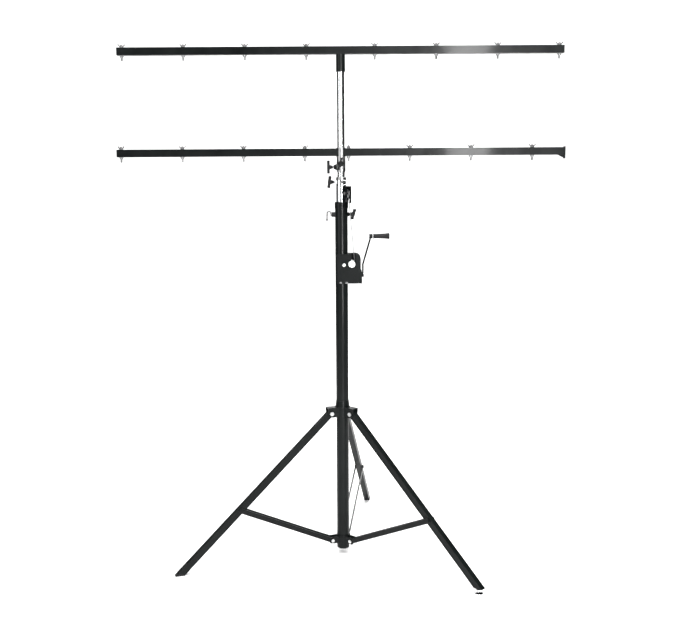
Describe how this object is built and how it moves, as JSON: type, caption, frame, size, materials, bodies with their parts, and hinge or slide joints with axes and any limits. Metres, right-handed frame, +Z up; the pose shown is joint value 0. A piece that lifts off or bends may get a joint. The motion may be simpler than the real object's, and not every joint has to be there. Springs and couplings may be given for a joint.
{
  "type": "crank lighting stand",
  "caption": "Folding tripod stand with a crank winch, a telescoping mast, a top T-bar and a lower pair of side bars with bolts for hanging stage lamps.",
  "frame": {"origin": "on the column's axis, at floor level between the three feet", "axes": "+Z up; +X along the bars towards the crank's side; -Y towards the front, where the winch's open cheek is"},
  "size_m": [1.778, 1.1569, 2.0845],
  "materials": {
    "black_paint": "semi-gloss black powder coat",
    "chrome_tube": "bright chrome-plated tube",
    "silver_sleeve": "satin zinc-plated sleeve",
    "black_plastic": "moulded black nylon",
    "zinc": "zinc-plated steel",
    "bright_steel": "bright plated steel",
    "steel_cable": "stranded galvanised steel",
    "bronze": "oiled sintered bronze"
  },
  "bodies": {
    "column_body": {"column": "black_paint", "column_foot_cap": "black_plastic", "column_head": "black_paint", "head_guide_bush": "black_plastic", "bottom_collar": "black_paint", "bottom_pivot_bolts": "zinc", "pulley_bracket": "black_paint", "pulley_axle": "zinc", "winch_frame": "black_paint", "gear_cover": "black_paint", "winch_bushes": "bronze", "winch_bolts": "zinc", "lift_cable": "steel_cable", "lift_cable_inner_run": "steel_cable", "plunger_barrel": "black_plastic"},
    "pulley_body": {"pulley": "zinc"},
    "drum_body": {"cable_drum": "zinc", "worm_wheel": "zinc", "drum_shaft": "zinc", "cable_wraps": "steel_cable"},
    "crank_body": {"worm_shaft": "zinc", "crank_arm": "black_paint", "crank_nut": "zinc", "grip_bolt": "zinc"},
    "grip_body": {"crank_grip": "black_plastic"},
    "middle_body": {"middle_tube": "chrome_tube", "middle_foot_bush": "black_plastic", "middle_top_bush": "black_plastic"},
    "inner_body": {"inner_mast": "chrome_tube", "inner_foot_bush": "black_plastic", "t_socket": "black_paint", "t_bar": "black_paint", "t_bar_end_caps": "black_plastic", "t_bar_bolts": "zinc", "t_bar_nuts": "zinc"},
    "side_bar_body": {"side_bar_sleeve": "silver_sleeve", "side_bar_left": "black_paint", "side_bar_right": "black_paint", "side_bar_end_cap": "black_plastic", "side_bar_bolts": "zinc", "side_bar_nuts": "zinc"},
    "sleeve_side_knob_body": {"sleeve_side_knob": "black_plastic"},
    "sleeve_front_knob_body": {"sleeve_front_knob": "black_plastic"},
    "mast_knob_body": {"mast_knob": "black_plastic"},
    "head_knob_body": {"head_knob": "black_plastic"},
    "collar_knob_body": {"collar_lock_knob": "black_plastic"},
    "safety_pin_body": {"safety_pin": "bright_steel"},
    "plunger_body": {"plunger_pin": "bright_steel", "plunger_spring": "zinc"},
    "leg_collar_body": {"leg_collar": "black_paint", "leg_pivot_bolts": "zinc"},
    "leg_left_body": {"leg_left": "black_paint", "leg_foot_left": "black_plastic"},
    "leg_right_body": {"leg_right": "black_paint"},
    "leg_rear_body": {"leg_rear": "black_paint", "leg_foot_rear": "black_plastic"},
    "levelling_foot_body": {"levelling_foot": "bright_steel"},
    "strut_left_body": {"strut_left": "black_paint"},
    "strut_right_body": {"strut_right": "black_paint"},
    "strut_rear_body": {"strut_rear": "black_paint"}
  },
  "joints": [
    {"name": "mast_lift", "type": "slide", "parent": "column_body", "child": "middle_body", "axis": [0, 0, 1], "range_m": [0, 1.05], "deforming": ["lift_cable_inner_run"]},
    {"name": "drum_spin", "type": "hinge", "parent": "column_body", "child": "drum_body", "pos_m": [0.041, 0, 1.2175], "axis": [0, 1, 0], "range_deg": [0, 5519.37]},
    {"name": "crank_spin", "type": "hinge", "parent": "column_body", "child": "crank_body", "pos_m": [0, 0.042, 1.1725], "axis": [1, 0, 0], "range_deg": [0, 33115.96]},
    {"name": "pulley_spin", "type": "hinge", "parent": "column_body", "child": "pulley_body", "pos_m": [0.02083, -0.03088, 1.5], "axis": [0.829, 0.5592, 0], "range_deg": [0, 4010.75]},
    {"name": "grip_spin", "type": "hinge", "parent": "crank_body", "child": "grip_body", "pos_m": [0.129, 0.042, 1.326], "axis": [1, 0, 0], "continuous": true},
    {"name": "inner_mast_slide", "type": "slide", "parent": "middle_body", "child": "inner_body", "axis": [0, 0, 1], "range_m": [0, 0.783]},
    {"name": "side_sleeve_slide", "type": "slide", "parent": "inner_body", "child": "side_bar_body", "axis": [0, 0, 1], "range_m": [-0.006, 0.28]},
    {"name": "sleeve_side_knob_turn", "type": "hinge", "parent": "side_bar_body", "child": "sleeve_side_knob_body", "pos_m": [0, 0, 1.604], "axis": [-1, 0, 0], "range_deg": [0, 540]},
    {"name": "sleeve_front_knob_turn", "type": "hinge", "parent": "side_bar_body", "child": "sleeve_front_knob_body", "pos_m": [0, 0, 1.616], "axis": [-0.0872, -0.9962, 0], "range_deg": [0, 540]},
    {"name": "mast_knob_turn", "type": "hinge", "parent": "middle_body", "child": "mast_knob_body", "pos_m": [0, 0, 1.545], "axis": [-0.9659, -0.2588, 0], "range_deg": [0, 540]},
    {"name": "head_knob_turn", "type": "hinge", "parent": "column_body", "child": "head_knob_body", "pos_m": [0, 0, 1.416], "axis": [0.9397, 0.342, 0], "range_deg": [0, 540]},
    {"name": "collar_knob_turn", "type": "hinge", "parent": "leg_collar_body", "child": "collar_knob_body", "pos_m": [0, 0, 0.604], "axis": [-0.766, 0.6428, 0], "range_deg": [0, 540]},
    {"name": "safety_pin_pull", "type": "slide", "parent": "middle_body", "child": "safety_pin_body", "axis": [0, -1, 0], "range_m": [0, 0.05]},
    {"name": "plunger_pull", "type": "slide", "parent": "column_body", "child": "plunger_body", "axis": [-1, 0, 0], "range_m": [0, 0.006], "stiffness_N_per_m": 1500, "springref_m": -0.005, "deforming": ["plunger_spring"]},
    {"name": "leg_fold", "type": "slide", "parent": "column_body", "child": "leg_collar_body", "axis": [0, 0, 1], "range_m": [0, 0.41]},
    {"name": "leg_left_fold", "type": "hinge", "parent": "leg_collar_body", "child": "leg_left_body", "pos_m": [-0.0498, -0.01813, 0.605], "axis": [0.342, -0.9397, 0], "range_deg": [0, 40.49]},
    {"name": "strut_left_fold", "type": "hinge", "parent": "column_body", "child": "strut_left_body", "pos_m": [-0.0498, -0.01813, 0.063], "axis": [0.342, -0.9397, 0], "range_deg": [-57.75, 0]},
    {"name": "leg_right_fold", "type": "hinge", "parent": "leg_collar_body", "child": "leg_right_body", "pos_m": [0.0406, -0.03407, 0.605], "axis": [0.6428, 0.766, 0], "range_deg": [0, 40.49]},
    {"name": "strut_right_fold", "type": "hinge", "parent": "column_body", "child": "strut_right_body", "pos_m": [0.0406, -0.03407, 0.063], "axis": [0.6428, 0.766, 0], "range_deg": [-57.75, 0]},
    {"name": "leg_rear_fold", "type": "hinge", "parent": "leg_collar_body", "child": "leg_rear_body", "pos_m": [0.0092, 0.05219, 0.605], "axis": [-0.9848, 0.1736, 0], "range_deg": [0, 40.49]},
    {"name": "strut_rear_fold", "type": "hinge", "parent": "column_body", "child": "strut_rear_body", "pos_m": [0.0092, 0.05219, 0.063], "axis": [-0.9848, 0.1736, 0], "range_deg": [-57.75, 0]},
    {"name": "levelling_foot_screw", "type": "slide", "parent": "leg_right_body", "child": "levelling_foot_body", "axis": [0, 0, -1], "range_m": [0, 0.012]}
  ],
  "couplings": [
    {"joint": "drum_spin", "follows": "mast_lift", "rad_per_m": 91.743},
    {"joint": "crank_spin", "follows": "mast_lift", "rad_per_m": 550.46},
    {"joint": "pulley_spin", "follows": "mast_lift", "rad_per_m": 66.667},
    {"joint": "leg_left_fold", "follows": "leg_fold", "rad_per_m": 1.7216},
    {"joint": "strut_left_fold", "follows": "leg_fold", "rad_per_m": -2.4564},
    {"joint": "leg_right_fold", "follows": "leg_fold", "rad_per_m": 1.7216},
    {"joint": "strut_right_fold", "follows": "leg_fold", "rad_per_m": -2.4564},
    {"joint": "leg_rear_fold", "follows": "leg_fold", "rad_per_m": 1.7216},
    {"joint": "strut_rear_fold", "follows": "leg_fold", "rad_per_m": -2.4564}
  ]
}
